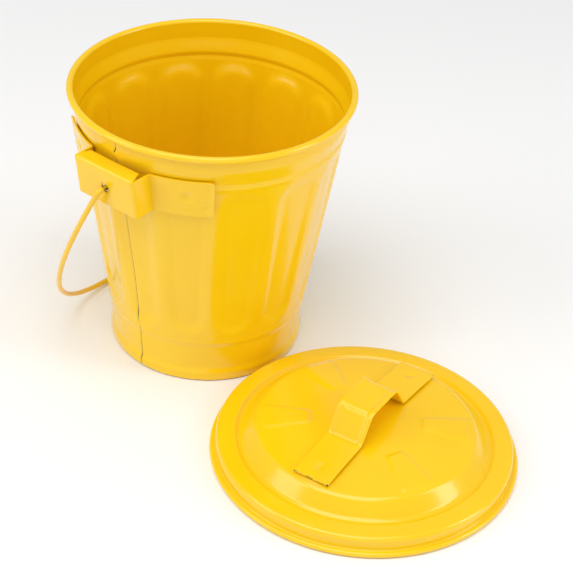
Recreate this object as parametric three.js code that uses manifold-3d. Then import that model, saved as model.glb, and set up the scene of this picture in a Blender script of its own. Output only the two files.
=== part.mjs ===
// Small waste can of painted sheet steel: a fluted tapering pail with a wired rim, two folded ear
// brackets, a long wire bail, and a domed lid with a strap handle that lies on the floor beside it.
// Millimetres, +Z up. The bail turns about X, and the front of the can is -Y. The origin is on the
// floor, at the centre of the box round everything.

import * as THREE from 'three';
import * as BufferGeometryUtils from 'three/addons/utils/BufferGeometryUtils.js';
import Module from 'manifold-3d';

const wasm = await Module();
wasm.setup();

// ---- Driving dimensions ------------------------------------------------------------------------

const assemblyGap = 0.3;         // air between two pieces that touch
const chordGap = 0.1;            // more air where one of them is faceted

// Pail
const rimRadius = 80;            // outside of the rolled rim
const rimHeight = 163;           // floor to the top of the rolled rim
const rimRollRadius = 1.95;      // half the height of the roll
const sheet = 0.5;               // pail and lid sheet steel
const collarLean = 0.2;          // the plain collar under the rim is in by this at its foot
const collarDrop = 12;           // rim's top to the collar's foot
const creaseDepth = 0.5;
const creaseDrop = 19.5;         // rim's top to the crease where the collar steps in to the wall
const wallTopInset = 1.8;        // collar to the ridges of the flutes, at the bead below the crease
const wallTopDrop = 21.7;
const wallFootRadius = 57.8;     // ridges of the flutes, at the step
const stepHeight = 29;           // floor to the step below the flutes
const stepDepth = 0.9;
const stepRise = 3.5;
const neckInset = 2.5;           // foot of the wall to the narrowest part, above the foot bead
const neckHeight = 8.6;
const footBeadInset = 1.7;       // foot of the wall to the bead round the foot
const footBeadHeight = 5.4;
const footBeadRound = 1.2;       // corners of the bead, in height
const footInset = 0.6;           // its bottom edge is in from its widest by this

// Flutes: recessed panels with rounded corners, pressed into the tapering wall
const fluteCount = 14;
const flutePhase = 16.9;         // degrees from +X to a ridge
const fluteDepth = 2;
const fluteRidge = 3.2;          // width of the ridge left between two panels
const fluteBottomGap = 6;        // step to where the panels begin
const fluteTopGap = 4.3;         // where they end to the top of the wall
const fluteSlope = 7;            // run over which a panel reaches its depth, at its ends
const fluteSideSlope = 3.5;      // the same at its sides
const facetsPerFlute = 5;
const pailFacets = fluteCount * facetsPerFlute;

// Bottom pan
const panRecess = 3;             // floor to the underside of the pan
const panSheet = 0.6;
const panFlangeBottom = 0.5;

// Ear brackets
const earHeight = 24;
const earDrop = 15.5;            // rim's top to the top of the bracket
const earSheet = 1.2;
const earStandOff = 11.92;       // wall to the outer face of the plate, at the pivot
const earPlateWidth = 42;
const earWingEnd = 42;           // degrees round the pail from the plate's middle to a wing's end
const earFlangeGap = 2.4;        // the folded top stops short of the wall's line by this
const earFlangeNotch = 1.4;      // shorter than the plate by this at each end
const pivotDrop = 13;            // top of the bracket to the pivot
const pivotClearance = 1;        // wire to the edge of its hole
const holeSides = 16;
const wingSteps = 5;

// Bail
const wireRadius = 1.5;
const bailSlack = 16.5;          // the bail reaches lower than the floor by this, hanging straight
const bailSquareness = 2.4;      // 2 is an ellipse, more is squarer
const bailEyeGap = 3.4;          // plate's face to the inside of the wire
const wireBend = 3;              // bend radius on the wire's centre line
const hookReach = 5.2;           // plate's face to the middle of the hook
const hookLength = 2.4;          // straight end of the hook
const wireSides = 8;
const archSteps = 40;
const archStart = 0.06;          // where the arch takes over from a leg's bend, in radians

// Lid
const lidRimClearance = 1;       // skirt to the rim, when the lid is on
const lidSkirtHeight = 10.8;     // floor to the flat ring
const lidFlangeWidth = 3.2;      // how far the flange stands out from the skirt
const lidCurlRadius = 1.5;
const lidShoulder = 2.2;         // corner between skirt and ring
const grooveInset = 14.5;        // outside of the skirt to the middle of the groove
const grooveDepth = 1.2;
const grooveWidth = 5;
const domeEdgeInset = 9;         // middle of the groove to the edge of the dome
const domeEdgeRise = 7.9;        // flat ring to the edge of the dome
const domeRise = 3.6;            // edge of the dome to its middle
const panelCount = 6;            // raised wedges on the dome
const panelEdgeGap = 0.4;        // edge of the dome to the wide end of a wedge
const panelLength = 28;
const panelAngle = 22;
const panelRise = 0.6;
const panelSlope = 2.5;
const facetsPerPanel = 10;
const lidFacets = panelCount * facetsPerPanel;

// Lid handle
const strapWidth = 21;
const strapSheet = 1.2;
const strapRise = 16.8;          // dome's middle to the top of the strap
const strapTopLength = 26;
const strapFootStart = 22.2;     // lid's centre to the bend at the foot
const strapEdgeGap = 1;          // edge of the dome to the end of a foot

// Where the lid lies
const lidGap = 3;                // between the pail's foot and the lid's edge
const lidBearing = -12;          // degrees round from the front, towards -X
const lidTurn = 6;               // degrees from +X to the strap

// ---- Materials ---------------------------------------------------------------------------------

function paint(colour) {
  return new THREE.MeshStandardMaterial({ color: colour, roughness: 0.22, metalness: 0 });
}

const steel = () => new THREE.MeshStandardMaterial({ color: 0x8f9296, roughness: 0.45, metalness: 1 });

// ---- Geometry helpers --------------------------------------------------------------------------

const rad = THREE.MathUtils.degToRad;

/** Point at a radius and height, for a profile turned about the axis. */
function at(radius, height) {
  return new THREE.Vector2(radius, height);
}

/** Turns a closed profile of [radius, height] points about Z. */
function turned(profile, facets) {
  const geometry = new THREE.LatheGeometry([...profile, profile[0].clone()], facets);
  return geometry.rotateX(Math.PI / 2);
}

/** Points on a circle about (radius, height), from one angle to another, in degrees. */
function arc(radius, height, size, from, to, steps) {
  const points = [];
  for (let i = 0; i <= steps; i += 1) {
    const angle = rad(from + ((to - from) * i) / steps);
    points.push(at(radius + size * Math.cos(angle), height + size * Math.sin(angle)));
  }
  return points;
}

/** Eases from 0 to 1 as the distance goes from 0 to the run. */
function ease(distance, run) {
  const t = THREE.MathUtils.clamp(distance / run, 0, 1);
  return t * t * (3 - 2 * t);
}

/** Moves each vertex out from the axis and up, by what shift(angle, radius, height) gives. */
function reshape(geometry, shift) {
  const position = geometry.attributes.position;
  for (let i = 0; i < position.count; i += 1) {
    const x = position.getX(i);
    const y = position.getY(i);
    const z = position.getZ(i);
    const radius = Math.hypot(x, y);
    const { out, up } = shift(Math.atan2(y, x), radius, z);
    const scale = radius > 0 ? (radius + out) / radius : 1;
    position.setXYZ(i, x * scale, y * scale, z + up);
  }
  return geometry;
}

/** Angle to the middle of the nearest of several equal sectors. */
function offMiddle(angle, count) {
  const pitch = (2 * Math.PI) / count;
  const turns = angle / pitch;
  return (turns - Math.floor(turns) - 0.5) * pitch;
}

/** A closed geometry as a solid that can be joined and cut. */
function solid(geometry) {
  const bare = geometry.clone();
  bare.deleteAttribute('normal');
  bare.deleteAttribute('uv');
  const merged = BufferGeometryUtils.mergeVertices(bare, 1e-4);
  return new wasm.Manifold(new wasm.Mesh({
    numProp: 3,
    vertProperties: new Float32Array(merged.attributes.position.array),
    triVerts: new Uint32Array(merged.index.array),
  }));
}

/** A solid back as a geometry. */
function fromSolid(body) {
  const mesh = body.getMesh();
  const geometry = new THREE.BufferGeometry();
  geometry.setAttribute('position', new THREE.BufferAttribute(mesh.vertProperties, 3));
  geometry.setIndex(new THREE.BufferAttribute(mesh.triVerts, 1));
  geometry.computeVertexNormals();
  return geometry;
}

/** A plan outline, given as a function of height, stretched between two heights. */
function tapered(outlineAt, bottom, top) {
  const low = outlineAt(bottom);
  const high = outlineAt(top);
  const count = low.length;
  const vertices = [];
  low.forEach((p) => vertices.push(p.x, p.y, bottom));
  high.forEach((p) => vertices.push(p.x, p.y, top));
  const index = [];
  for (const [a, b, c] of THREE.ShapeUtils.triangulateShape(low, [])) {
    index.push(c, b, a, a + count, b + count, c + count);
  }
  for (let i = 0; i < count; i += 1) {
    const next = (i + 1) % count;
    index.push(i, next, next + count, i, next + count, i + count);
  }
  const geometry = new THREE.BufferGeometry();
  geometry.setAttribute('position', new THREE.Float32BufferAttribute(vertices, 3));
  geometry.setIndex(index);
  return geometry;
}

/** A wire's route with one ring of facets at each of its points. */
class WireRoute extends THREE.Curve {
  constructor(points) {
    super();
    this.points = points;
  }

  getPoint(t) {
    const place = t * (this.points.length - 1);
    const i = Math.min(Math.floor(place), this.points.length - 2);
    return this.points[i].clone().lerp(this.points[i + 1], place - i);
  }

  getPointAt(u) {
    return this.getPoint(u);
  }

  getTangentAt(u) {
    const last = this.points.length - 1;
    const i = Math.round(u * last);
    const before = this.points[Math.max(i - 1, 0)];
    const after = this.points[Math.min(i + 1, last)];
    return after.clone().sub(before).normalize();
  }
}

// ---- Pail --------------------------------------------------------------------------------------

const rollCentre = { radius: rimRadius - rimRollRadius, height: rimHeight - rimRollRadius };
const rollFoot = rollCentre.height - rimRollRadius;
const collarTopRadius = rollCentre.radius - rimRollRadius + sheet;
const collarRadius = collarTopRadius - collarLean;
const collarBottom = rimHeight - collarDrop;
const creaseHeight = rimHeight - creaseDrop;
const wallTopRadius = collarRadius - wallTopInset;
const wallTop = rimHeight - wallTopDrop;
const wallSlope = (wallTopRadius - wallFootRadius) / (wallTop - stepHeight);
const fluteBottom = stepHeight + fluteBottomGap;
const fluteTop = wallTop - fluteTopGap;
const footBeadRadius = wallFootRadius - footBeadInset;
const footRadius = footBeadRadius - footInset;

/** Outer radius of the flutes' ridges at a height. */
function ridgeRadius(height) {
  return wallFootRadius + wallSlope * (height - stepHeight);
}

/** Outermost the wall gets at a height: the flutes' ridges, or the slope up to the collar above them. */
function wallOutside(height) {
  const share = (height - creaseHeight) / (collarBottom - creaseHeight);
  const slope = THREE.MathUtils.lerp(wallTopRadius - creaseDepth, collarRadius, share);
  return Math.max(ridgeRadius(height), share > 0 ? slope : 0);
}

/** How deep the panels are pressed in, at an angle and height. */
function fluteRecess(angle, height) {
  const radius = ridgeRadius(height);
  const halfWidth = (Math.PI * radius) / fluteCount - fluteRidge / 2;
  const side = halfWidth - Math.abs(offMiddle(angle, fluteCount)) * radius;
  const end = Math.min(height - fluteBottom, fluteTop - height);
  return fluteDepth * ease(side, fluteSideSlope) * ease(end, fluteSlope);
}

function pailBody() {
  const outer = [
    at(footRadius, 0),
    at(footBeadRadius, footBeadRound),
    at(footBeadRadius, footBeadHeight - footBeadRound),
    at(wallFootRadius - neckInset, neckHeight),
    at(wallFootRadius - stepDepth, stepHeight - stepRise),
    at(wallFootRadius, stepHeight),
    at(ridgeRadius(fluteBottom), fluteBottom),
    at(ridgeRadius(fluteBottom + fluteSlope), fluteBottom + fluteSlope),
    at(ridgeRadius((fluteBottom + fluteTop) / 2), (fluteBottom + fluteTop) / 2),
    at(ridgeRadius(fluteTop - fluteSlope), fluteTop - fluteSlope),
    at(ridgeRadius(fluteTop - fluteSlope / 2), fluteTop - fluteSlope / 2),
    at(ridgeRadius(fluteTop), fluteTop),
    at(wallTopRadius, wallTop),
    at(wallTopRadius - creaseDepth, creaseHeight),
    at((wallTopRadius - creaseDepth + collarRadius) / 2, (creaseHeight + collarBottom) / 2),
    at(collarRadius, collarBottom),
    at(collarTopRadius, rollFoot),
  ];
  const inner = outer.map((p) => at(p.x - sheet, p.y));
  const { radius, height } = rollCentre;
  const curlOutside = arc(radius, height, rimRollRadius, 180, -125, 10);
  const curlInside = arc(radius, height, rimRollRadius - sheet, -125, 180, 10);
  const profile = [...inner, ...curlOutside, ...curlInside, ...outer.reverse()];
  const press = (angle, r, z) => ({ out: -fluteRecess(angle, z), up: 0 });
  return reshape(turned(profile.reverse(), pailFacets), press);
}

function bottomPan() {
  const outside = footRadius - sheet - assemblyGap;
  const top = panRecess + panSheet;
  return turned([
    at(0, panRecess),
    at(outside - panSheet, panRecess),
    at(outside - panSheet, panFlangeBottom),
    at(outside, panFlangeBottom),
    at(outside, top),
    at(0, top),
  ], pailFacets);
}

function rimWire() {
  const wire = rimRollRadius - sheet - assemblyGap - chordGap / 2;
  return turned(arc(rollCentre.radius, rollCentre.height, wire, 0, 300, 5), pailFacets);
}

// ---- Ear brackets ------------------------------------------------------------------------------

const earTop = rimHeight - earDrop;
const pivotHeight = earTop - pivotDrop;
const pivotHoleRadius = wireRadius + pivotClearance;

/** Outer face of the plate, which leans with the wall. */
function plateFace(height) {
  return ridgeRadius(height) + earStandOff;
}

/** Plan of the folded strip at a height: wing, side, plate, side, wing. */
function earOutline(height) {
  const face = (thickness, radius) => {
    const half = earPlateWidth / 2 - earSheet + thickness;
    const corner = Math.asin(half / radius);
    const end = rad(earWingEnd);
    const wing = [];
    for (let i = 0; i <= wingSteps; i += 1) {
      const angle = end + ((corner - end) * i) / wingSteps;
      wing.push(at(radius * Math.cos(angle), radius * Math.sin(angle)));
    }
    const right = [...wing, at(plateFace(height) - earSheet + thickness, half)];
    const left = right.map((p) => at(p.x, -p.y)).reverse();
    return [...right, ...left];
  };
  const wingInside = wallOutside(height) + assemblyGap + chordGap;
  const inside = face(0, wingInside);
  const outside = face(earSheet, wingInside + earSheet);
  return [...inside, ...outside.reverse()];
}

function earBracket() {
  const strip = solid(tapered(earOutline, earTop - earHeight, earTop));
  const flangeDepth = earStandOff - earFlangeGap;
  const flange = new THREE.BoxGeometry(flangeDepth, earPlateWidth - 2 * earFlangeNotch, earSheet);
  flange.translate(plateFace(earTop) - earSheet / 2 - flangeDepth / 2, 0, earTop - earSheet / 2);
  const hole = new THREE.CylinderGeometry(pivotHoleRadius, pivotHoleRadius, earStandOff, holeSides);
  hole.rotateZ(Math.PI / 2);
  hole.translate(plateFace(pivotHeight), 0, pivotHeight);
  return fromSolid(strip.add(solid(flange)).subtract(solid(hole)));
}

// ---- Bail --------------------------------------------------------------------------------------

const bailDrop = pivotHeight + bailSlack;

/** Route of the wire in its own plane: X across, Y down from the pivots. */
function bailRoute() {
  const plate = plateFace(pivotHeight);
  const legReach = plate + bailEyeGap + wireRadius;
  const hookMiddle = plate - hookReach;
  const bend = (x, y, from, to) => arc(x, y, wireBend, from, to, 4);
  const end = [
    at(hookMiddle, -wireBend - hookLength),
    ...bend(hookMiddle + wireBend, -wireBend, 180, 90),
    ...bend(legReach - wireBend, wireBend, -90, 0),
  ];
  const arch = [];
  for (let i = 0; i <= archSteps; i += 1) {
    const angle = archStart + ((Math.PI - 2 * archStart) * i) / archSteps;
    const power = 2 / bailSquareness;
    const across = Math.sign(Math.cos(angle)) * Math.abs(Math.cos(angle)) ** power;
    arch.push(at(legReach * across, bailDrop * Math.sin(angle) ** power));
  }
  const farEnd = end.map((p) => at(-p.x, p.y)).reverse();
  return [...end, ...arch, ...farEnd];
}

function bail() {
  const points = bailRoute().map((p) => new THREE.Vector3(p.x, 0, -p.y));
  const section = new THREE.Shape(arc(0, 0, wireRadius, 0, 360 - 360 / wireSides, wireSides - 1));
  return new THREE.ExtrudeGeometry(section, {
    steps: points.length - 1,
    extrudePath: new WireRoute(points),
    curveSegments: 1,
  });
}

// ---- Lid ---------------------------------------------------------------------------------------

const skirtInside = rimRadius + lidRimClearance;
const skirtOutside = skirtInside + sheet;
const lidRadius = skirtOutside + lidFlangeWidth;
const grooveRadius = skirtOutside - grooveInset;
const domeEdgeRadius = grooveRadius - domeEdgeInset;
const domeEdgeHeight = lidSkirtHeight + domeEdgeRise;
const panelOuter = domeEdgeRadius - panelEdgeGap;
const panelInner = panelOuter - panelLength;
const strapFootEnd = domeEdgeRadius - strapEdgeGap;
const strapTop = domeEdgeHeight + domeRise + strapRise;

/** Height of the dome's top face at a distance from the middle, without its raised panels. */
function domeTop(radius) {
  return domeEdgeHeight + domeRise * (1 - (radius / domeEdgeRadius) ** 2);
}

/** How far the raised panels stand up, at an angle and radius. */
function panelLift(angle, radius) {
  const half = (radius * rad(panelAngle)) / 2;
  const fromMiddle = offMiddle(angle + Math.PI / panelCount, panelCount);
  const side = half - Math.abs(fromMiddle) * radius;
  const end = Math.min(radius - panelInner, panelOuter - radius);
  return panelRise * ease(side, panelSlope) * ease(end, panelSlope);
}

function lidShell() {
  const curl = { radius: lidRadius - lidCurlRadius, height: lidCurlRadius };
  const flangeTop = 2 * lidCurlRadius;
  const dome = [0, 0.25, 0.5, 0.56, 0.75, 0.93, 1].map((share) => domeEdgeRadius * share);
  const topFace = [
    ...dome.map((radius) => at(radius, domeTop(radius))),
    at(grooveRadius - grooveWidth / 2, lidSkirtHeight),
    at(grooveRadius, lidSkirtHeight - grooveDepth),
    at(grooveRadius + grooveWidth / 2, lidSkirtHeight),
    ...arc(skirtOutside - lidShoulder, lidSkirtHeight - lidShoulder, lidShoulder, 90, 0, 3),
    at(skirtOutside, flangeTop),
    ...arc(curl.radius, curl.height, lidCurlRadius, 90, -150, 7),
  ];
  const underFace = [
    ...dome.map((radius) => at(radius, domeTop(radius) - sheet)),
    at(grooveRadius - grooveWidth / 2 - sheet / 2, lidSkirtHeight - sheet),
    at(grooveRadius, lidSkirtHeight - grooveDepth - sheet),
    at(grooveRadius + grooveWidth / 2, lidSkirtHeight - sheet),
    ...arc(skirtOutside - lidShoulder, lidSkirtHeight - lidShoulder, lidShoulder - sheet, 90, 0, 3),
    at(skirtInside, flangeTop - sheet),
    ...arc(curl.radius, curl.height, lidCurlRadius - sheet, 90, -150, 7),
  ];
  const profile = [...topFace, ...underFace.reverse()].reverse();
  const press = (angle, radius) => ({ out: 0, up: panelLift(angle, radius) });
  return reshape(turned(profile, lidFacets), press);
}

/** Side view of half the strap, one face of it, from the end of the foot to the top. */
function strapFace(thickness) {
  const lift = panelRise + assemblyGap + chordGap + thickness;
  const footSteps = 3;
  const points = [];
  for (let i = 0; i <= footSteps; i += 1) {
    const x = THREE.MathUtils.lerp(strapFootEnd, strapFootStart, i / footSteps);
    points.push(at(x, domeTop(x) + lift));
  }
  points[footSteps].x += thickness / 2;
  points.push(at(strapTopLength / 2 - (strapSheet - thickness) / 2, strapTop - strapSheet + thickness));
  return points;
}

function lidHandle() {
  const mirrored = (points) => points.map((p) => at(-p.x, p.y)).reverse();
  const under = strapFace(0);
  const over = strapFace(strapSheet);
  const outline = [...under, ...mirrored(under), ...mirrored(over).reverse(), ...over.reverse()];
  const geometry = new THREE.ExtrudeGeometry(new THREE.Shape(outline), {
    depth: strapWidth,
    bevelEnabled: false,
  });
  return geometry.translate(0, 0, -strapWidth / 2).rotateX(Math.PI / 2);
}

// ---- Assembly ----------------------------------------------------------------------------------

function piece(name, geometry, material) {
  const mesh = new THREE.Mesh(geometry, material);
  mesh.name = name;
  return mesh;
}

const yellow = 0xf8c814;

const pail = new THREE.Group();
const pressing = new THREE.Group();
pressing.add(piece('pail_body', pailBody(), paint(yellow)));
pressing.add(piece('pail_bottom', bottomPan(), paint(yellow)));
pressing.add(piece('rim_wire', rimWire(), steel()));
pressing.rotation.z = rad(flutePhase);
pail.add(pressing);

['ear_right', 'ear_left'].forEach((name, side) => {
  const ear = piece(name, earBracket(), paint(yellow));
  ear.rotation.z = side * Math.PI;
  pail.add(ear);
});

// The bail is longer than its pivots are high, so it leans back with its middle on the floor.
const bailMesh = piece('bail', bail(), paint(yellow));
bailMesh.position.z = pivotHeight;
bailMesh.rotation.x = Math.acos((pivotHeight - wireRadius - assemblyGap) / bailDrop);
pail.add(bailMesh);

const lid = new THREE.Group();
lid.add(piece('lid_shell', lidShell(), paint(yellow)));
lid.add(piece('lid_handle', lidHandle(), paint(yellow)));
const bearing = rad(lidBearing - 90);
const reach = footBeadRadius + lidGap + lidRadius;
lid.position.set(reach * Math.cos(bearing), reach * Math.sin(bearing), 0);
lid.rotation.z = rad(lidTurn);

const can = new THREE.Group();
can.add(pail, lid);
const box = new THREE.Box3().setFromObject(can, true);
can.position.set(-(box.min.x + box.max.x) / 2, -(box.min.y + box.max.y) / 2, -box.min.z);

const part = new THREE.Group();
part.add(can);

export default part;
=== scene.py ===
import math

import bmesh
import bpy
import numpy as np
from mathutils import Matrix, Quaternion, Vector


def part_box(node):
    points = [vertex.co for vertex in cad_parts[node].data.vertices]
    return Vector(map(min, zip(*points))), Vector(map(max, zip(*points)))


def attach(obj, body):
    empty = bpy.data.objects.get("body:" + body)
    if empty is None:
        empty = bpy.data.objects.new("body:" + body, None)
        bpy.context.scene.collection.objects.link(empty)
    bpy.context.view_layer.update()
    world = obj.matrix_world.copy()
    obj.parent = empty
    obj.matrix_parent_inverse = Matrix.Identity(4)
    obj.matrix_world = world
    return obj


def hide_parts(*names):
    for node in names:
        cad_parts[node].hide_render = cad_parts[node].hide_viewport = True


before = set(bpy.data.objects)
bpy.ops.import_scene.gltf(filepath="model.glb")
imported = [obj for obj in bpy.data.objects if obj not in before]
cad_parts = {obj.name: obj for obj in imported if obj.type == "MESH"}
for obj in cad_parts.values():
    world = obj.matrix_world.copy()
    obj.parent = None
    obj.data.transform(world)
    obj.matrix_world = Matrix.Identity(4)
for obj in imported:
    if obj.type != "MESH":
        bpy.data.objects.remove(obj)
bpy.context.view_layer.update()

# A small waste can of yellow enamelled sheet steel: a fluted pail with a rolled rim, two folded ear
# brackets, a wire bail, and a domed lid with a strap handle lying in front of it. Shapes are worked out in
# millimetres about the pail's or the lid's own axis, and put in place in metres at the end.

MM = 0.001


def middle_of(node):
    low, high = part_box(node)
    return (low + high) / 2 / MM


pail_axis = Vector((middle_of("pail_body").x, middle_of("pail_body").y, 0))
lid_axis = Vector((middle_of("lid_shell").x, middle_of("lid_shell").y, 0))

# ---- Sizes, in millimetres ---------------------------------------------------------------------

RIM_RADIUS = 79.92
RIM_HEIGHT = 163
ROLL = 1.95                   # half the height of the rolled rim
SHEET = 0.5                   # thickness of the pail and lid sheet
WALL_FOOT = (57.8, 29)        # radius and height of the flutes' ridges at the step
WALL_TOP = (74.6, 141.3)
WALL_SLOPE = (WALL_TOP[0] - WALL_FOOT[0]) / (WALL_TOP[1] - WALL_FOOT[1])

FLUTES = 14
FLUTE_PHASE = 16.9            # degrees from +X to a ridge
FLUTE_DEPTH = 1.6
FLUTE_RIDGE = 3.0
FLUTE_ENDS = (33.5, 138)
FLUTE_CORNER = 12.5
FLUTE_SLOPE = 6.8
COLUMNS_PER_FLUTE = 20

SEAM_ANGLE = 180              # degrees from +X to the folded seam
SEAM_PROUD = 0.75
SEAM_GROOVE = 0.35
SEAM_FADE = 8
SEAM_BAND = 1.3               # degrees each side of the seam that have finer columns
SEAM_COLUMNS = (-1.2, -0.9, -0.7, -0.5, -0.35, -0.2, -0.08, 0.08, 0.2, 0.35, 0.5, 0.9)

PAN_HEIGHT = 3.6              # floor to the pan's upper face
PAN_SHEET = 0.6

PIVOT_HEIGHT = 134.5
EAR_PLATE = 85.5              # axis to the plate's face at the pivot
EAR_WIDTH = 42
EAR_HEIGHT = 24
EAR_TOP = 147.5
EAR_SHEET = 1.2
EAR_WING_END = 42             # degrees round to a wing's end
EAR_ROWS = 41
EAR_END_CORNER = 1.6
EAR_END_LIFT = 0.8
EAR_CLEARANCE = 0.4
EAR_HOLE = 2.5
FLANGE_DEPTH = 9.5
WING_DIMPLES = ((31, 136, 7.6, 1.4), (38.5, 128.5, 5, 0.45))     # degrees round, height, width, depth

WIRE = 1.5                    # radius of the bail's wire
BAIL_REACH = 90.4
BAIL_DROP = 151
BAIL_SQUARENESS = 2.4
HOOK_REACH = 5.2
HOOK_LENGTH = 2.4
WIRE_BEND = 3

LID_RADIUS = 84.62
LID_RING = 10.8               # height of the flat ring
LID_CURL = 1.5
LID_TURN = 6                  # degrees from +X to the strap
DOME_EDGE = (58, 18.7)
DOME_HEIGHT = 22.3
WEDGES = 6
WEDGE_ENDS = (29.2, 58.0)     # distances from the lid's axis
WEDGE_ANGLE = 23
WEDGE_RISE = 0.9
WEDGE_SLOPE = 3.0
STRAP_WIDTH = 21
STRAP_TOP = 39.1
STRAP_FOOT = (22.2, 57)       # distances from the lid's axis
STRAP_SHEET = 1.2
STRAP_LIFT = WEDGE_RISE + 0.3     # the foot's underside above the dome, as it rests on a wedge
STRAP_HOLLOW = 0.6
STRAP_DIMPLE = (47.8, 6.6, 0.95)     # distance out, width, depth

YELLOW = ((0.94, 0.60, 0.004, 1), (0.92, 0.57, 0.002, 1))
WIRE_YELLOW = ((0.93, 0.575, 0.006, 1), (0.89, 0.535, 0.004, 1))
# Dark brown painted shade, for creases, under the rim, at the foot and where parts meet.
PAINTED_SHADE = (0.16, 0.075, 0.012, 1)
CHIPPED = (0.07, 0.055, 0.045, 1)
STEEL = ((0.3, 0.3, 0.31, 1), (0.42, 0.42, 0.43, 1))

# ---- Lines and meshes --------------------------------------------------------------------------


def rounded(corners, steps=7):
    """A line through (x, y, radius) corners, with each corner turned on an arc of that radius."""
    corners = [np.array(c, float) for c in corners]
    line = [corners[0][:2]]
    for before, corner, after in zip(corners, corners[1:], corners[2:]):
        a, b, c = before[:2], corner[:2], after[:2]
        back, on = a - b, c - b
        long_back, long_on = np.linalg.norm(back), np.linalg.norm(on)
        back, on = back / long_back, on / long_on
        turn = math.pi - math.acos(np.clip(back @ on, -1, 1))
        run = min(corner[2] * math.tan(turn / 2), 0.49 * long_back, 0.49 * long_on)
        if run < 1e-6:
            line.append(b)
            continue
        weight = math.cos(turn / 2)
        start, end = b + back * run, b + on * run
        for s in np.linspace(0, 1, steps):
            parts = ((1 - s) ** 2, 2 * weight * s * (1 - s), s ** 2)
            line.append((start * parts[0] + b * parts[1] + end * parts[2]) / sum(parts))
    line.append(corners[-1][:2])
    return np.array(line)


def even(line, longest):
    """The same line, with points added so that no step is longer than that."""
    found = [line[0]]
    for a, b in zip(line, line[1:]):
        count = max(1, math.ceil(np.linalg.norm(b - a) / longest))
        found.extend(a + (b - a) * k / count for k in range(1, count + 1))
    return np.array(found)


def leftward(line):
    """Unit steps to the left of the line, at each of its points."""
    way = np.gradient(line, axis=0)
    way /= np.linalg.norm(way, axis=1)[:, None]
    return np.stack([-way[:, 1], way[:, 0]], axis=1)


def beside(line, distance):
    """The line moved to its left by a distance."""
    return line + leftward(line) * distance


def arc(x, y, radius, start, end, steps):
    angles = np.radians(np.linspace(start, end, steps))
    return np.stack([x + radius * np.cos(angles), y + radius * np.sin(angles)], axis=1)


def ease(value):
    t = np.clip(value, 0, 1)
    return t * t * (3 - 2 * t)


def hill(distance, reach):
    """1 at no distance, falling smoothly to 0 at the reach."""
    return ease(1 - np.abs(distance) / reach)


def build(name, points, faces, place):
    """A closed smooth mesh from points in millimetres, put in place in the frame."""
    mesh = bpy.data.meshes.new(name)
    mesh.from_pydata((np.asarray(points) * MM).tolist(), [], faces)
    bm = bmesh.new()
    bm.from_mesh(mesh)
    bmesh.ops.remove_doubles(bm, verts=bm.verts, dist=2e-6)
    bmesh.ops.recalc_face_normals(bm, faces=bm.faces)
    bm.to_mesh(mesh)
    bm.free()
    moved = place.copy()
    moved.translation *= MM
    mesh.transform(moved)
    made = bpy.data.objects.new(name, mesh)
    bpy.context.scene.collection.objects.link(made)
    smooth(made)
    return made


def smooth(piece):
    piece.data.polygons.foreach_set("use_smooth", [True] * len(piece.data.polygons))


def grid_faces(rows, columns, close_rows, close_columns, first=0):
    down = rows if close_rows else rows - 1
    across = columns if close_columns else columns - 1
    faces = []
    for i in range(down):
        for j in range(across):
            a, b = i * columns, (i + 1) % rows * columns
            k = (j + 1) % columns
            faces.append((first + a + j, first + a + k, first + b + k, first + b + j))
    return faces


def turned(name, profile, angles, place):
    """A closed profile of radius and height turned about the axis, through those angles."""
    radius, height = profile[:, 0][:, None], profile[:, 1][:, None]
    points = np.stack([
        radius * np.cos(angles),
        radius * np.sin(angles),
        height + 0 * angles,
    ], axis=-1).reshape(-1, 3)
    return build(name, points, grid_faces(len(profile), len(angles), True, True), place)


def slab(outer, inner):
    """Points and faces of a bent sheet, from the two grids of points that are its faces."""
    rows, columns = outer.shape[:2]
    count = rows * columns
    points = np.concatenate([outer.reshape(-1, 3), inner.reshape(-1, 3)])
    faces = grid_faces(rows, columns, False, False)
    faces += [tuple(reversed(f)) for f in grid_faces(rows, columns, False, False, count)]
    edge = list(range(columns))
    edge += [i * columns + columns - 1 for i in range(1, rows)]
    edge += [(rows - 1) * columns + j for j in range(columns - 2, -1, -1)]
    edge += [i * columns for i in range(rows - 2, 0, -1)]
    for a, b in zip(edge, edge[1:] + edge[:1]):
        faces.append((b, a, a + count, b + count))
    return points, faces


def soften_edges(piece, width, angle=40):
    """Rounds the sharp edges of a sheet by a small width in millimetres, and keeps its faces flat."""
    bevel = piece.modifiers.new("rounded edges", "BEVEL")
    bevel.width = width * MM
    bevel.segments = 2
    bevel.limit_method = "ANGLE"
    bevel.angle_limit = math.radians(angle)
    settle(piece)


def settle(piece):
    """Works out a piece's modifiers once, and keeps the mesh that they give."""
    seen = piece.evaluated_get(bpy.context.evaluated_depsgraph_get())
    mesh = bpy.data.meshes.new_from_object(seen)
    piece.modifiers.clear()
    piece.data = mesh
    smooth(piece)


def local_points(piece, place):
    """The piece's vertices in millimetres about that place."""
    count = len(piece.data.vertices)
    points = np.zeros(count * 3)
    piece.data.vertices.foreach_get("co", points)
    points = points.reshape(-1, 3) / MM - np.array(place.translation)
    return points @ np.array(place.to_3x3())


def set_mask(piece, name, values):
    """A value from 0 to 1 at each vertex, which a material can read."""
    mask = piece.data.attributes.new(name, "FLOAT", "POINT")
    mask.data.foreach_set("value", np.clip(values, 0, 1).astype(np.float32))


def paint(piece, material):
    piece.data.materials.clear()
    piece.data.materials.append(material)


# ---- Node trees --------------------------------------------------------------------------------


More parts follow.
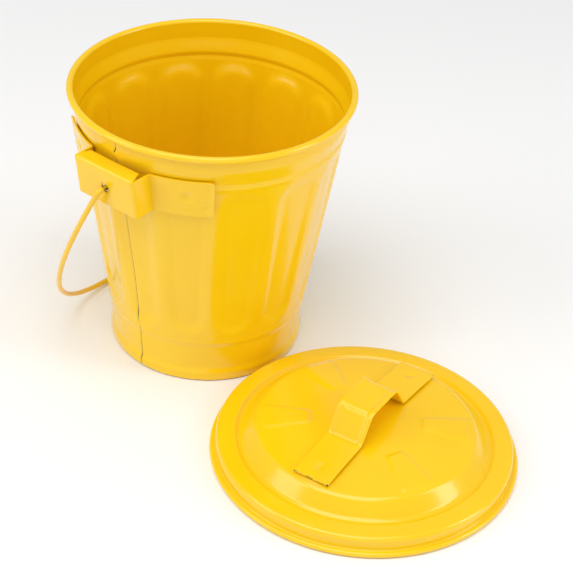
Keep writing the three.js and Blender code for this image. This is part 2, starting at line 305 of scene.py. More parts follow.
class Tree:
    """Short calls for filling one node tree."""

    def __init__(self, tree):
        self.tree = tree
        self.nodes = tree.nodes
        self.inputs = None

    def add(self, kind, **settings):
        node = self.nodes.new(kind)
        for key, value in settings.items():
            setattr(node, key, value)
        return node

    def feed(self, socket, value):
        if isinstance(value, bpy.types.NodeSocket):
            self.tree.links.new(value, socket)
        else:
            socket.default_value = value

    def math(self, operation, *values):
        node = self.add("ShaderNodeMath", operation=operation)
        for socket, value in zip(node.inputs, values):
            self.feed(socket, value)
        return node.outputs[0]

    def vector(self, operation, *values):
        node = self.add("ShaderNodeVectorMath", operation=operation)
        for socket, value in zip(node.inputs, values):
            self.feed(socket, value)
        return node.outputs[0]

    def noise(self, place, scale, detail):
        node = self.add("ShaderNodeTexNoise")
        for name, given in (("Vector", place), ("Scale", scale), ("Detail", detail)):
            self.feed(node.inputs[name], given)
        return node.outputs["Fac"]

    def eased(self, value, low, high):
        node = self.add("ShaderNodeMapRange", interpolation_type="SMOOTHSTEP")
        for name, given in (("Value", value), ("From Min", low), ("From Max", high)):
            self.feed(node.inputs[name], given)
        return node.outputs[0]


def new_group(name, kind, inputs, outputs):
    """A node group with those sockets. Each is a name, a socket type and, for an input, its value."""
    group = bpy.data.node_groups.new(name, kind)
    for label, socket_type, value in inputs:
        socket = group.interface.new_socket(label, in_out="INPUT", socket_type=socket_type)
        if value is not None:
            socket.default_value = value
    for label, socket_type in outputs:
        group.interface.new_socket(label, in_out="OUTPUT", socket_type=socket_type)
    tree = Tree(group)
    tree.inputs = tree.add("NodeGroupInput").outputs
    tree.result = tree.add("NodeGroupOutput").inputs
    return tree


def press(piece, tree, material, settings):
    """Runs a pressing tree on a piece with those settings, and keeps the mesh that it gives."""
    modifier = piece.modifiers.new(tree.tree.name, "NODES")
    modifier.node_group = tree.tree
    given = {"Material": material, **settings}
    for item in tree.tree.interface.items_tree:
        if item.in_out == "INPUT" and item.name in given:
            modifier[item.identifier] = given[item.name]
    settle(piece)


def sector_tree(name, own_inputs):
    """The start of a pressing tree: its sockets, and the place of each point in the nearest of several
    equal sectors round an axis."""
    shared = [
        ("Geometry", "NodeSocketGeometry", None),
        ("Axis", "NodeSocketVector", (0, 0, 0)),
        ("Count", "NodeSocketInt", 6),
        ("Phase", "NodeSocketFloat", 0.0),
        ("Material", "NodeSocketMaterial", None),
    ]
    tree = new_group(name, "GeometryNodeTree", shared + own_inputs, [("Geometry", "NodeSocketGeometry")])
    place = tree.add("GeometryNodeInputPosition").outputs[0]
    apart = tree.add("ShaderNodeSeparateXYZ")
    tree.feed(apart.inputs[0], tree.vector("SUBTRACT", place, tree.inputs["Axis"]))
    x, y, height = apart.outputs
    radius = tree.math("SQRT", tree.math("ADD", tree.math("MULTIPLY", x, x), tree.math("MULTIPLY", y, y)))
    pitch = tree.math("DIVIDE", 2 * math.pi, tree.inputs["Count"])
    angle = tree.math("SUBTRACT", tree.math("ARCTAN2", y, x), tree.inputs["Phase"])
    turns = tree.math("FRACT", tree.math("ADD", tree.math("DIVIDE", angle, pitch), 4.0))
    off = tree.math("MULTIPLY", tree.math("ABSOLUTE", tree.math("SUBTRACT", turns, 0.5)), pitch)
    return tree, x, y, height, radius, pitch, off


def finish_tree(tree, offset):
    moved = tree.add("GeometryNodeSetPosition")
    tree.feed(moved.inputs["Geometry"], tree.inputs["Geometry"])
    tree.feed(moved.inputs["Offset"], offset)
    real = tree.add("GeometryNodeRealizeInstances")
    tree.feed(real.inputs[0], moved.outputs[0])
    painted = tree.add("GeometryNodeSetMaterial")
    tree.feed(painted.inputs["Geometry"], real.outputs[0])
    tree.feed(painted.inputs["Material"], tree.inputs["Material"])
    tree.feed(tree.result[0], painted.outputs[0])
    return tree


def fluting():
    """Presses equal rounded panels into a tapering wall. Angles are in radians and lengths in metres."""
    own = [(label, "NodeSocketFloat", 0.0) for label in (
        "Depth", "Ridge", "Bottom", "Top", "Corner", "Slope", "Foot Radius", "Foot Height", "Taper")]
    tree, x, y, height, radius, pitch, off = sector_tree("press_flutes", own)
    given = tree.inputs
    up = tree.math("SUBTRACT", height, given["Foot Height"])
    wall = tree.math("MULTIPLY_ADD", up, given["Taper"], given["Foot Radius"])
    half = tree.math("SUBTRACT", tree.math("MULTIPLY", wall, tree.math("MULTIPLY", pitch, 0.5)),
                     tree.math("MULTIPLY", given["Ridge"], 0.5))
    across = tree.math("SUBTRACT", tree.math("MULTIPLY", off, wall),
                       tree.math("SUBTRACT", half, given["Corner"]))
    centre = tree.math("MULTIPLY", tree.math("ADD", given["Bottom"], given["Top"]), 0.5)
    tall = tree.math("MULTIPLY", tree.math("SUBTRACT", given["Top"], given["Bottom"]), 0.5)
    along = tree.math("SUBTRACT", tree.math("ABSOLUTE", tree.math("SUBTRACT", height, centre)),
                      tree.math("SUBTRACT", tall, given["Corner"]))
    past_x, past_z = tree.math("MAXIMUM", across, 0.0), tree.math("MAXIMUM", along, 0.0)
    far = tree.math("SQRT", tree.math("ADD", tree.math("MULTIPLY", past_x, past_x),
                                      tree.math("MULTIPLY", past_z, past_z)))
    near = tree.math("MINIMUM", tree.math("MAXIMUM", across, along), 0.0)
    inside = tree.math("SUBTRACT", given["Corner"], tree.math("ADD", far, near))
    depth = tree.math("MULTIPLY", tree.eased(inside, 0.0, given["Slope"]), given["Depth"])
    share = tree.math("DIVIDE", tree.math("MULTIPLY", depth, -1.0), radius)
    offset = tree.add("ShaderNodeCombineXYZ")
    tree.feed(offset.inputs[0], tree.math("MULTIPLY", x, share))
    tree.feed(offset.inputs[1], tree.math("MULTIPLY", y, share))
    return finish_tree(tree, offset.outputs[0])


def wedging():
    """Raises equal wedges on a dome. Angles are in radians and lengths in metres."""
    own = [(label, "NodeSocketFloat", 0.0) for label in ("Inner", "Outer", "Wedge", "Rise", "Slope")]
    tree, x, y, height, radius, pitch, off = sector_tree("press_wedges", own)
    given = tree.inputs
    half = tree.math("MULTIPLY", given["Wedge"], 0.5)
    side = tree.math("MULTIPLY", tree.math("SUBTRACT", half, off), radius)
    end = tree.math("MINIMUM", tree.math("SUBTRACT", radius, given["Inner"]),
                    tree.math("SUBTRACT", given["Outer"], radius))
    lift = tree.math("MULTIPLY", tree.eased(side, 0.0, given["Slope"]),
                     tree.eased(end, 0.0, given["Slope"]))
    offset = tree.add("ShaderNodeCombineXYZ")
    tree.feed(offset.inputs[2], tree.math("MULTIPLY", lift, given["Rise"]))
    return finish_tree(tree, offset.outputs[0])


# ---- Materials ---------------------------------------------------------------------------------


def enamel_film():
    """The skin of a sprayed enamel: faint clouds in its colour, its gloss, and its orange peel."""
    tree = new_group("enamel_film", "ShaderNodeTree", [
        ("Peel Size", "NodeSocketFloat", 900.0),
        ("Peel Height", "NodeSocketFloat", 0.02),
        ("Gloss", "NodeSocketFloat", 0.2),
    ], [("Cloud", "NodeSocketFloat"), ("Roughness", "NodeSocketFloat"), ("Normal", "NodeSocketVector")])
    place = tree.add("ShaderNodeTexCoord").outputs["Object"]
    cloud = tree.noise(place, 22.0, 4.0)
    tree.feed(tree.result["Cloud"], tree.eased(cloud, 0.3, 0.75))
    rub = tree.noise(place, 95.0, 5.0)
    tree.feed(tree.result["Roughness"], tree.math("MULTIPLY_ADD", rub, 0.09, tree.inputs["Gloss"]))
    peel = tree.noise(place, tree.inputs["Peel Size"], 1.0)
    bump = tree.add("ShaderNodeBump")
    tree.feed(bump.inputs["Strength"], tree.inputs["Peel Height"])
    tree.feed(bump.inputs["Distance"], 0.002)
    tree.feed(bump.inputs["Height"], peel)
    tree.feed(tree.result["Normal"], bump.outputs[0])
    return tree.tree


def chips_and_shade_masks():
    """Broken-up masks for painted shade in creases and where parts meet, and for paint knocked off the
    edges.
    """
    tree = new_group("chips_and_shade_masks", "ShaderNodeTree", [("Amount", "NodeSocketFloat", 1.0)],
                     [("Painted Shade", "NodeSocketFloat"), ("Chip", "NodeSocketFloat")])
    place = tree.add("ShaderNodeTexCoord").outputs["Object"]
    speckle = tree.math("SUBTRACT", tree.noise(place, 420.0, 3.0), 0.5)
    # The first mask is painted shade, the second chipped paint.
    for name, attribute, spread in (("Painted Shade", "painted_shade", 0.6), ("Chip", "chip", 1.1)):
        mask = tree.add("ShaderNodeAttribute", attribute_name=attribute).outputs["Fac"]
        broken = tree.math("MULTIPLY_ADD", speckle, spread, mask)
        lifted = tree.math("MULTIPLY", tree.eased(broken, 0.35, 0.75), tree.inputs["Amount"])
        tree.feed(tree.result[name], tree.math("MULTIPLY", lifted, tree.eased(mask, 0.0, 0.25)))
    return tree.tree


film_group = enamel_film()
chips_and_shade_group = chips_and_shade_masks()


def blend_colours(tree, factor, first, second):
    mix = tree.add("ShaderNodeMix", data_type="RGBA")
    tree.feed(mix.inputs["Factor"], factor)
    for socket, value in (("A", first), ("B", second)):
        colour_sockets = [s for s in mix.inputs if s.name == socket and s.type == "RGBA"]
        tree.feed(colour_sockets[0], value)
    return [s for s in mix.outputs if s.type == "RGBA"][0]


def enamel(name, shades, gloss, peel_size):
    """Glossy coloured enamel on steel, with painted shade in its creases and chips on its edges."""
    material = bpy.data.materials.new(name)
    material.use_nodes = True
    tree = Tree(material.node_tree)
    surface = tree.nodes["Principled BSDF"].inputs
    film = tree.add("ShaderNodeGroup", node_tree=film_group)
    tree.feed(film.inputs["Gloss"], gloss)
    tree.feed(film.inputs["Peel Size"], peel_size)
    chips_and_shade = tree.add("ShaderNodeGroup", node_tree=chips_and_shade_group)
    colour = blend_colours(tree, film.outputs["Cloud"], *shades)
    # Painted shade mixed into the colour.
    colour = blend_colours(tree, chips_and_shade.outputs["Painted Shade"], colour, PAINTED_SHADE)
    colour = blend_colours(tree, chips_and_shade.outputs["Chip"], colour, CHIPPED)
    tree.feed(surface["Base Color"], colour)
    tree.feed(surface["Roughness"], film.outputs["Roughness"])
    tree.feed(surface["Normal"], film.outputs["Normal"])
    tree.feed(surface["Coat Weight"], 0.2)
    tree.feed(surface["Coat Roughness"], 0.06)
    tree.feed(surface["IOR"], 1.5)
    return material


def bare_steel(name):
    """Drawn steel wire, unpainted."""
    material = bpy.data.materials.new(name)
    material.use_nodes = True
    tree = Tree(material.node_tree)
    surface = tree.nodes["Principled BSDF"].inputs
    streak = tree.noise(tree.add("ShaderNodeTexCoord").outputs["Object"], 300.0, 2.0)
    tree.feed(surface["Base Color"], blend_colours(tree, streak, *STEEL))
    tree.feed(surface["Metallic"], 1.0)
    tree.feed(surface["Roughness"], 0.4)
    return material


yellow_enamel = enamel("yellow_enamel", YELLOW, 0.15, 900.0)
enamelled_wire = enamel("enamelled_wire", WIRE_YELLOW, 0.13, 1500.0)
bare_wire = bare_steel("bare_wire")

# ---- Pail --------------------------------------------------------------------------------------

pail_place = Matrix.Translation(pail_axis)


def ridge_radius(height):
    return WALL_FOOT[0] + WALL_SLOPE * (height - WALL_FOOT[1])


def seam_shift(angle, radius):
    """How far the outer skin stands out along the folded seam."""
    beside_seam = np.radians((np.degrees(angle) - SEAM_ANGLE + 180) % 360 - 180) * radius
    lap = SEAM_PROUD * ease(beside_seam / 0.45 + 0.5) * hill(np.maximum(beside_seam, 0), SEAM_FADE)
    return lap - SEAM_GROOVE * hill(beside_seam + 0.6, 0.9), beside_seam


def seam_wander(height):
    """How far the seam runs off its line, in millimetres round the pail."""
    torn = 0.9 * np.sin(height * 0.9) * hill(height - 153, 8)
    kink = 0.8 * hill(height - 28, 5)
    return torn + kink + 0.25 * np.sin(height * 0.11)


def pail_sheet():
    skin = even(rounded([
        (55.5, 0, 0),
        (56.1, 1.0, 0.8),
        (56.2, 5.4, 1.4),
        (55.3, 8.4, 2.5),
        (56.75, 24.6, 2.5),
        (57.9, 28.2, 2.0),
        (57.9, 30.2, 1.5),
        (ridge_radius(40), 40, 20),
        (ridge_radius(138.6), 138.6, 3.0),
        (75.0, 141.2, 2.2),
        (74.4, 143.6, 3.2),
        (76.2, 150.2, 1.5),
        (76.6, 152, 2.0),
        (76.6, RIM_HEIGHT - 2 * ROLL, 0.5),
        (76.6, RIM_HEIGHT - ROLL, 0),
    ], 5), 2.1)
    inner = beside(skin, SHEET)
    inner[0], inner[-1] = (55.0, 0), (76.1, RIM_HEIGHT - ROLL)
    middle = (RIM_RADIUS - ROLL, RIM_HEIGHT - ROLL)
    over = arc(*middle, ROLL, 180, -125, 26)
    under = arc(*middle, ROLL - SHEET, -125, 180, 20)
    profile = np.concatenate([inner, over[1:], under, skin[::-1][1:]])
    sides = FLUTES * COLUMNS_PER_FLUTE
    angles = np.radians(FLUTE_PHASE + np.arange(sides) * 360 / sides)
    fine = np.radians(SEAM_ANGLE + np.array(SEAM_COLUMNS))
    near = np.abs(np.degrees(angles) % 360 - SEAM_ANGLE) < SEAM_BAND
    angles = np.sort(np.concatenate([angles[~near] % (2 * math.pi), fine]))
    pail = turned("pail_sheet", profile, angles, pail_place)
    press(pail, fluting(), yellow_enamel, {
        "Axis": pail_axis * MM,
        "Count": FLUTES,
        "Phase": math.radians(FLUTE_PHASE),
        "Depth": FLUTE_DEPTH * MM,
        "Ridge": FLUTE_RIDGE * MM,
        "Bottom": FLUTE_ENDS[0] * MM,
        "Top": FLUTE_ENDS[1] * MM,
        "Corner": FLUTE_CORNER * MM,
        "Slope": FLUTE_SLOPE * MM,
        "Foot Radius": WALL_FOOT[0] * MM,
        "Foot Height": WALL_FOOT[1] * MM,
        "Taper": WALL_SLOPE,
    })
    return pail


def fold_the_seam(pail):
    """Laps the outer skin over itself along the seam, and marks where painted shade and chipped paint sit.
    """
    points = local_points(pail, pail_place)
    radius = np.hypot(points[:, 0], points[:, 1])
    angle = np.arctan2(points[:, 1], points[:, 0])
    shift, beside_seam = seam_shift(angle, radius)
    normals = np.array([v.normal for v in pail.data.vertices])
    outward = (normals[:, 0] * np.cos(angle) + normals[:, 1] * np.sin(angle)) > 0.1
    low, high = 0.5, RIM_HEIGHT - 2 * ROLL - 0.6
    along = ease((points[:, 2] - low) / 1.5) * ease((high - points[:, 2]) / 1.5)
    moved = np.where(outward & (points[:, 2] < high), shift * along, 0)
    points[:, 0] *= 1 + moved / radius
    points[:, 1] *= 1 + moved / radius
    turn = seam_wander(points[:, 2]) / radius * hill(beside_seam, 14) * along
    x, y = points[:, 0].copy(), points[:, 1].copy()
    points[:, 0] = x * np.cos(turn) - y * np.sin(turn)
    points[:, 1] = x * np.sin(turn) + y * np.cos(turn)
    placed = (points + np.array(pail_place.translation)) * MM
    pail.data.vertices.foreach_set("co", placed.ravel())
    pail.data.update()
    # Painted shade: dark in the seam's crevice, under the rolled rim, and a painted contact shadow at the
    # foot of the outer wall.
    crevice_shade = hill(beside_seam + 0.45, 0.85) * along * outward
    shade_under_curl = hill(points[:, 2] - (RIM_HEIGHT - 2 * ROLL), 1.2) * (radius < 77.4) * outward
    foot = hill(points[:, 2], 1.8) * 0.4 * outward
    set_mask(pail, "painted_shade", crevice_shade * 2.0 + 0.4 * shade_under_curl + foot)
    # Worn paint on the bottom edge, dark enough to serve as a painted contact shadow line too.
    set_mask(pail, "chip", 0.45 * hill(points[:, 2], 0.7))


def pail_pan():
    top = rounded([
        (0, PAN_HEIGHT, 0),
        (37, PAN_HEIGHT, 1.5),
        (39, PAN_HEIGHT + 0.9, 1.2),
        (42, PAN_HEIGHT + 0.9, 1.2),
        (44, PAN_HEIGHT, 1.5),
        (53.4, PAN_HEIGHT, 1.2),
        (54.65, 3.1, 0.8),
        (54.65, 0.6, 0),
    ], 5)
    under = beside(top, -PAN_SHEET)
    under[0] = (0, PAN_HEIGHT - PAN_SHEET)
    profile = np.concatenate([top, under[::-1]])
    pan = turned("pail_pan", profile, np.radians(np.arange(0, 360, 2.5)), pail_place)
    points = local_points(pan, pail_place)
    radius = np.hypot(points[:, 0], points[:, 1])
    # Painted shade in the corner where the pan meets the wall.
    set_mask(pan, "painted_shade", 0.42 * hill(radius - 53.6, 2.4))
    set_mask(pan, "chip", radius * 0)
    paint(pan, yellow_enamel)
    return pan


# ---- Ear brackets ------------------------------------------------------------------------------


def dimple(across, up, at_across, at_up, width, depth):
    """A conical spot-weld mark."""
    far = np.hypot(across - at_across, up - at_up)
    return depth * np.clip(1 - far / (width / 2), 0, 1) ** 0.85


def ear_plan(height):
    """Outline of the outer face at a height, from one wing's end to the other's."""
    wall = ridge_radius(height) + EAR_CLEARANCE + EAR_SHEET
    half = EAR_WIDTH / 2
    plate = EAR_PLATE + WALL_SLOPE * (height - PIVOT_HEIGHT)
    corner = math.degrees(math.asin(half / wall))
    wing = arc(0, 0, wall, EAR_WING_END, corner, 44)
    side = [(x, y, 0.0) for x, y in wing[:-1]]
    side += [(wing[-1][0], half, 2.2), (plate, half, 2.6)]
    middle = [(plate, y, 0.0) for y in np.linspace(half - 4, 4 - half, 32)]
    mirror = [(x, -y, r) for x, y, r in reversed(side)]
    return rounded(side + middle + mirror, 8)


def ear_bracket(name, turn):
    shares = np.linspace(0, 1, EAR_ROWS)
    first = ear_plan(EAR_TOP - EAR_HEIGHT)
    steps = np.linalg.norm(np.diff(ear_plan(PIVOT_HEIGHT), axis=0), axis=1)
    run = np.concatenate([[0], np.cumsum(steps)])
    from_end = np.minimum(run, run[-1] - run)
    on_plate = (np.abs(first[:, 1]) < 19.4) & (first[:, 0] > EAR_PLATE - 4)
    into_corner = np.clip(1 - from_end / EAR_END_CORNER, 0, 1)
    corner = EAR_END_CORNER * (1 - np.sqrt(1 - into_corner ** 2))
    bottom = EAR_TOP - EAR_HEIGHT + corner
    top = EAR_TOP - 0.9 - corner * 0.7 - 1.2 * on_plate
    outer = np.zeros((EAR_ROWS, len(first), 3))
    inner = np.zeros_like(outer)
    plans = {}
    for i, share in enumerate(shares):
        for j, height in enumerate(np.round(bottom + (top - bottom) * share, 3)):
            if height not in plans:
                line = ear_plan(height)
                plans[height] = (line, beside(line, -EAR_SHEET))
            outer[i, j] = (*plans[height][0][j], height)
            inner[i, j] = (*plans[height][1][j], height)
    around = np.degrees(np.arctan2(outer[..., 1], outer[..., 0]))
    radius = np.hypot(outer[..., 0], outer[..., 1])
    for side in (-1, 1):
        mark = sum(
            dimple(np.radians(around - side * bearing) * radius, outer[..., 2], 0, up, width, depth)
            for bearing, up, width, depth in WING_DIMPLES)
        outer[..., :2] *= (1 - mark / radius)[..., None]
        inner[..., :2] *= (1 - 0.2 * mark / radius)[..., None]
    end_lift = EAR_END_LIFT * hill(from_end, 3.2)[None, :, None]
    outward = outer[..., :2] / radius[..., None]
    outer[..., :2] += outward * end_lift
    inner[..., :2] += outward * end_lift
    place = pail_place @ Matrix.Rotation(math.radians(turn), 4, "Z")
    ear = build(name, *slab(outer, inner), place)
    cut_the_hole(ear, place)
    ear = add_top_flange(ear, place)
    soften_edges(ear, 0.42, 50)
    points = local_points(ear, place)
    around_hole = np.hypot(points[:, 1], points[:, 2] - PIVOT_HEIGHT)
    on_face = points[:, 0] > EAR_PLATE - 3
    worn = hill(around_hole - EAR_HOLE, 0.7) * on_face
    edge = hill(points[:, 2] - (EAR_TOP - EAR_HEIGHT), 0.5)
    set_mask(ear, "chip", 0.36 * worn + 0.2 * edge)
    # Painted shade in a ring round the hole, where the bail goes in.
    set_mask(ear, "painted_shade", 0.5 * hill(around_hole - EAR_HOLE - 0.6, 2.4) * on_face)
    paint(ear, yellow_enamel)
    return ear


def cut_the_hole(ear, place):
    cutter_mesh = bpy.data.meshes.new("hole")
    bm = bmesh.new()
    bmesh.ops.create_cone(bm, cap_ends=True, segments=40, radius1=EAR_HOLE * MM, radius2=EAR_HOLE * MM,
                          depth=12 * MM)
    bm.to_mesh(cutter_mesh)
    bm.free()
    cutter = bpy.data.objects.new("hole", cutter_mesh)
    bpy.context.scene.collection.objects.link(cutter)
    at = place @ Matrix.Translation((EAR_PLATE, 0, PIVOT_HEIGHT)) @ Matrix.Rotation(math.pi / 2, 4, "Y")
    at.translation *= MM
    cutter_mesh.transform(at)
    cut = ear.modifiers.new("hole", "BOOLEAN")
    cut.operation = "DIFFERENCE"
    cut.solver = "EXACT"
    cut.object = cutter
    settle(ear)
    bpy.data.objects.remove(cutter)


def add_top_flange(ear, place):
    """The tab folded back over the top of the plate, with slanting ends."""
    slant = WALL_SLOPE
    plate_top = EAR_PLATE + slant * (EAR_TOP - PIVOT_HEIGHT)
    low = EAR_TOP - 4.2
    side = rounded([
        (EAR_PLATE + slant * (low - PIVOT_HEIGHT) - 0.03, low, 0),
        (plate_top - 0.03, EAR_TOP, 2.4),
        (plate_top - FLANGE_DEPTH, EAR_TOP - 0.1, 0),
    ], 9)
    side = even(side, 1.5)
    under = beside(side, EAR_SHEET)
    run = np.concatenate([[0], np.cumsum(np.linalg.norm(np.diff(side, axis=0), axis=1))])
    half = 19.9 - 2.6 * ease((run - 5) / (run[-1] - 5))
    shares = np.linspace(-1, 1, 25)
    grids = []
    for line in (side, under):
        grid = np.zeros((len(shares), len(line), 3))
        grid[..., 0] = line[:, 0]
        grid[..., 1] = shares[:, None] * half
        grid[..., 2] = line[:, 1]
        grids.append(grid)
    flange = build("flange", *slab(*grids), place)
    bm = bmesh.new()
    bm.from_mesh(ear.data)
    bm.from_mesh(flange.data)
    bm.to_mesh(ear.data)
    bm.free()
    bpy.data.objects.remove(flange)
    smooth(ear)
    return ear


# ---- Bail --------------------------------------------------------------------------------------


def bail_line():
    """Middle of the wire in its own plane: across, and down from the pivots."""
    hook = EAR_PLATE - HOOK_REACH
    start = even(rounded([
        (hook, -WIRE_BEND - HOOK_LENGTH, 0),
        (hook, 0, WIRE_BEND),
        (BAIL_REACH, 0, WIRE_BEND),
        (BAIL_REACH, 12, 0),
    ], 10), 1.2)
    angles = np.linspace(0, math.pi, 181)
    power = 2 / BAIL_SQUARENESS
    across = BAIL_REACH * np.sign(np.cos(angles)) * np.abs(np.cos(angles)) ** power
    down = BAIL_DROP * np.sin(angles) ** power
    arch = np.stack([across, down], axis=1)
    arch = arch[(arch[:, 1] > 13)]
    far = start[::-1] * (-1, 1)
    return np.concatenate([start[start[:, 1] < 12.5], arch, far[far[:, 1] < 12.5]])


def wire_bail():
    line = bail_line()
    rings, sides = [], 18
    angles = np.arange(sides) * 2 * math.pi / sides
    for middle, out in zip(line, leftward(line)):
        ring = np.zeros((sides, 3))
        ring[:, 0] = middle[0] + out[0] * np.cos(angles) * WIRE
        ring[:, 1] = np.sin(angles) * WIRE
        ring[:, 2] = -(middle[1] + out[1] * np.cos(angles) * WIRE)
        rings.append(ring)
    points = np.concatenate(rings)
    faces = grid_faces(len(line), sides, False, True)
    faces.append(tuple(range(sides)))
    faces.append(tuple(reversed(range(len(points) - sides, len(points)))))
    lean = math.acos((PIVOT_HEIGHT - WIRE - 0.3) / BAIL_DROP)
    place = pail_place @ Matrix.Translation((0, 0, PIVOT_HEIGHT)) @ Matrix.Rotation(lean, 4, "X")
    bail = build("bail_wire", points, faces, place)
    soften_edges(bail, 0.35, 60)
    points = local_points(bail, pail_place)
    near_pivot = hill(points[:, 2] - PIVOT_HEIGHT, 7) * (np.abs(points[:, 0]) < EAR_PLATE + 2)
    set_mask(bail, "chip", 0.6 * near_pivot + 0.35 * hill(points[:, 2], 1.2))
    # Painted shade on the wire near the pivots, where it passes into the ears.
    set_mask(bail, "painted_shade", 0.5 * near_pivot)
    paint(bail, enamelled_wire)
    return bail


# ---- Lid ---------------------------------------------------------------------------------------

lid_place = Matrix.Translation(lid_axis) @ Matrix.Rotation(math.radians(LID_TURN), 4, "Z")


def dome_top(radius):
    return DOME_HEIGHT - (DOME_HEIGHT - DOME_EDGE[1]) * (radius / DOME_EDGE[0]) ** 2


def lid_pressing():
    curl = (LID_RADIUS - LID_CURL, LID_CURL)
    dome = [(r, dome_top(r), 0) for r in np.arange(0, 57, 1.5)]
    top = even(rounded(dome + [
        (DOME_EDGE[0] + 1.4, dome_top(59.4), 13),
        (66.4, LID_RING - 0.3, 5.0),
        (68.2, LID_RING - 1.2, 1.4),
        (69.6, LID_RING - 1.0, 1.4),
        (71.2, LID_RING + 0.3, 1.8),
        (76, LID_RING + 0.3, 6),
        (81.5, LID_RING - 0.2, 2.4),
        (81.5, 2 * LID_CURL, 0.8),
        (curl[0], 2 * LID_CURL, 0),
    ]), 1.5)
    under = beside(top, -SHEET)
    under[0] = (0, DOME_HEIGHT - SHEET)
    over = arc(*curl, LID_CURL, 90, -150, 22)
    inside = arc(*curl, LID_CURL - SHEET, -150, 90, 16)
    profile = np.concatenate([top, over[1:], inside, under[::-1][1:]])
    sides = WEDGES * 50
    angles = np.arange(sides) * 2 * math.pi / sides
    lid = turned("lid_pressing", profile, angles, lid_place)
    press(lid, wedging(), yellow_enamel, {
        "Axis": lid_axis * MM,
        "Count": WEDGES,
        "Phase": math.radians(LID_TURN) + math.pi / WEDGES,
        "Inner": WEDGE_ENDS[0] * MM,
        "Outer": WEDGE_ENDS[1] * MM,
        "Wedge": math.radians(WEDGE_ANGLE),
        "Rise": WEDGE_RISE * MM,
        "Slope": WEDGE_SLOPE * MM,
    })
    points = local_points(lid, lid_place)
    radius = np.hypot(points[:, 0], points[:, 1])
    # Painted shade in the groove round the dome and at the foot of its flank.
    set_mask(lid, "painted_shade", 0.35 * hill(radius - 66.9, 1.6) + 0.3 * hill(radius - 64.4, 1.2))
    # Worn paint on the bottom edge, dark enough to serve as a painted contact shadow line too.
    set_mask(lid, "chip", 0.3 * hill(points[:, 2], 0.5))
    return lid


def strap_handle():
    near, far_out = STRAP_FOOT
    foot = [(x, dome_top(x) + STRAP_LIFT, 0) for x in np.arange(far_out, near + 4, -3.0)]
    bend = (near, dome_top(near) + STRAP_LIFT, 4.2)
    half = foot + [bend, (12.4, STRAP_TOP - STRAP_SHEET, 5.5)]
    far = [(-x, z, r) for x, z, r in reversed(half)]
    line = even(rounded(half + far, 9), 1.2)
    over = beside(line, -STRAP_SHEET)
    across = np.linspace(-0.5, 0.5, 43) * STRAP_WIDTH
    grids = []
    for path in (over, line):
        grid = np.zeros((len(across), len(path), 3))
        grid[..., 0] = path[:, 0]
        grid[..., 1] = across[:, None]
        grid[..., 2] = path[:, 1]
        grids.append(grid)
    top = grids[0]
    outward = over - line
    outward /= np.linalg.norm(outward, axis=1)[:, None]
    raised = ease((near + 2.4 - np.abs(over[:, 0])) / 1.6)
    hollow = ease((STRAP_WIDTH / 2 - 2.4 - np.abs(across)) / 0.9)[:, None] * raised * STRAP_HOLLOW
    out, width, depth = STRAP_DIMPLE
    mark = sum(dimple(top[..., 0], top[..., 1], x, 0, width, depth) for x in (-out, out))
    pressed = hollow + mark
    top[..., 0] -= outward[:, 0] * pressed
    top[..., 2] -= outward[:, 1] * pressed
    strap = build("strap_handle", *slab(top, grids[1]), lid_place)
    soften_edges(strap, 0.3, 50)
    points = local_points(strap, lid_place)
    at_end = hill(far_out - np.abs(points[:, 0]), 1.3)
    at_corner = hill(STRAP_WIDTH / 2 - np.abs(points[:, 1]), 2.6)
    set_mask(strap, "chip", at_end * (0.18 + 0.6 * at_corner))
    # Painted shade at the feet's ends, where they meet the dome.
    set_mask(strap, "painted_shade", 0.5 * at_end)
    paint(strap, yellow_enamel)
    return strap


# ---- Pieces on their bodies --------------------------------------------------------------------

pail = pail_sheet()
fold_the_seam(pail)

for piece, body, node, finish in (
    (pail, "pail", "pail_body", "yellow_enamel"),
    (pail_pan(), "pail", "pail_bottom", "yellow_enamel"),
    (ear_bracket("ear_bracket_right", 0), "pail", "ear_right", "yellow_enamel"),
    (ear_bracket("ear_bracket_left", 180), "pail", "ear_left", "yellow_enamel"),
    (wire_bail(), "bail", "bail", "enamelled_wire"),
    (lid_pressing(), "lid", "lid_shell", "yellow_enamel"),
    (strap_handle(), "lid", "lid_handle", "yellow_enamel"),
):
    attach(piece, body)
    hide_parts(node)

rim_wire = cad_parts["rim_wire"]
paint(rim_wire, bare_wire)

# ---- Floor, light and camera -------------------------------------------------------------------

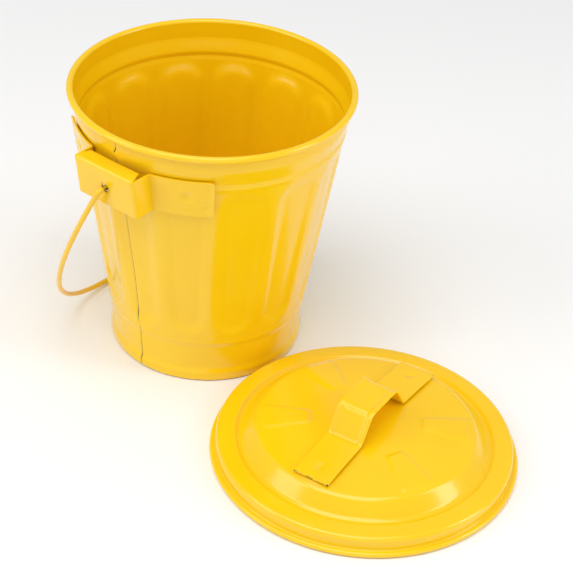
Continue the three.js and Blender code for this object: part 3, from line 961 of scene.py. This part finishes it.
FLOOR_HALF = 6.0              # metres
FLOOR_HEIGHT = -0.0003
floor_mesh = bpy.data.meshes.new("floor")
corners = ((-1, -1), (1, -1), (1, 1), (-1, 1))
floor_mesh.from_pydata([(x * FLOOR_HALF, y * FLOOR_HALF, FLOOR_HEIGHT) for x, y in corners],
                       [], [(0, 1, 2, 3)])
floor = bpy.data.objects.new("floor", floor_mesh)
bpy.context.scene.collection.objects.link(floor)
paper = bpy.data.materials.new("white_paper")
paper.use_nodes = True
paper.node_tree.nodes["Principled BSDF"].inputs["Base Color"].default_value = (0.93, 0.93, 0.93, 1)
paper.node_tree.nodes["Principled BSDF"].inputs["Roughness"].default_value = 0.8
floor_mesh.materials.append(paper)

world = bpy.data.worlds.new("studio")
bpy.context.scene.world = world
world.use_nodes = True
world.node_tree.nodes["Background"].inputs["Color"].default_value = (1.0, 1.0, 1.0, 1)
world.node_tree.nodes["Background"].inputs["Strength"].default_value = 0.47


def softbox(name, azimuth, elevation, distance, size, watts):
    """A square lamp that looks at the pail from a direction round it, in degrees."""
    lamp = bpy.data.lights.new(name, "AREA")
    lamp.shape = "RECTANGLE"
    lamp.size, lamp.size_y = size
    lamp.energy = watts
    a, e = math.radians(azimuth), math.radians(elevation)
    way = Vector((math.cos(a) * math.cos(e), math.sin(a) * math.cos(e), math.sin(e)))
    box = bpy.data.objects.new(name, lamp)
    box.location = pail_axis * MM + Vector((0, 0, 0.08)) + way * distance
    box.rotation_mode = "QUATERNION"
    box.rotation_quaternion = (-way).to_track_quat("-Z", "Y")
    bpy.context.scene.collection.objects.link(box)


softbox("softbox_over", 200, 72, 1.9, (1.5, 1.5), 19)
softbox("softbox_left", 150, 30, 1.3, (0.6, 1.0), 4.5)
softbox("softbox_right", 292, 22, 1.3, (0.35, 1.0), 4.5)
softbox("softbox_front", 225, 14, 1.5, (1.2, 0.5), 1.3)

camera_data = bpy.data.cameras.new("camera")
camera_data.sensor_width = 36
camera_data.lens = 108
camera_data.clip_start = 0.05
camera = bpy.data.objects.new("camera", camera_data)
bpy.context.scene.collection.objects.link(camera)
camera.location = pail_axis * MM + Vector((-0.6364, -0.5340, 0.6176))
looks_at = pail_axis * MM + Vector((0.0344, -0.0330, 0.0248))
camera.rotation_mode = "QUATERNION"
level = (looks_at - camera.location).to_track_quat("-Z", "Y")
camera.rotation_quaternion = level @ Quaternion((0, 0, 1), math.radians(3.6))
bpy.context.scene.camera = camera
bpy.context.scene.view_settings.view_transform = "Standard"
